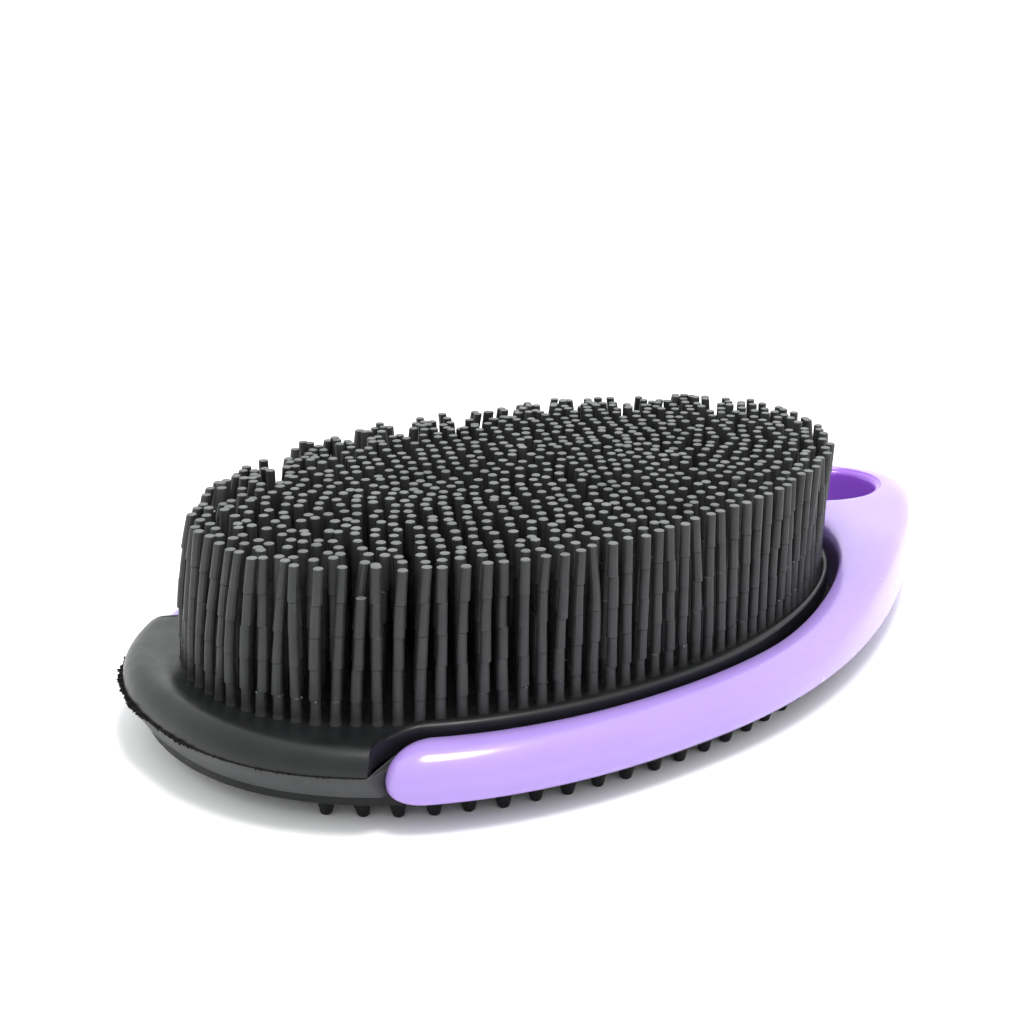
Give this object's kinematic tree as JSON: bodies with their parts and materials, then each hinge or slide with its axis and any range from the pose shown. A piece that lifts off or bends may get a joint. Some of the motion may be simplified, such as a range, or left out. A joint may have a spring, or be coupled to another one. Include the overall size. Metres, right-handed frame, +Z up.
{
  "type": "two-sided rubber curry comb",
  "caption": "Oval two-sided rubber grooming brush: long bristles on one face, short nubs on the other, held by a U-shaped plastic frame with a hanging tab.",
  "frame": {"origin": "on the resting plane of the nub tips, under the middle of the overall box", "axes": "+X along the length towards the hanging tab, +Y to the left of that, +Z up out of the long bristles"},
  "size_m": [0.1616, 0.0934, 0.0352],
  "materials": {
    "frame_plastic": "glossy moulded lilac plastic",
    "pad_rubber": "semi-gloss black rubber with a fine mould texture",
    "bristle_rubber": "satin black rubber, greyer on the cut tips",
    "nub_rubber": "satin black rubber"
  },
  "bodies": {
    "root": {"frame": "frame_plastic", "bristle_pad": "pad_rubber", "bristle_field": "bristle_rubber", "nub_pad": "nub_rubber"}
  },
  "joints": []
}
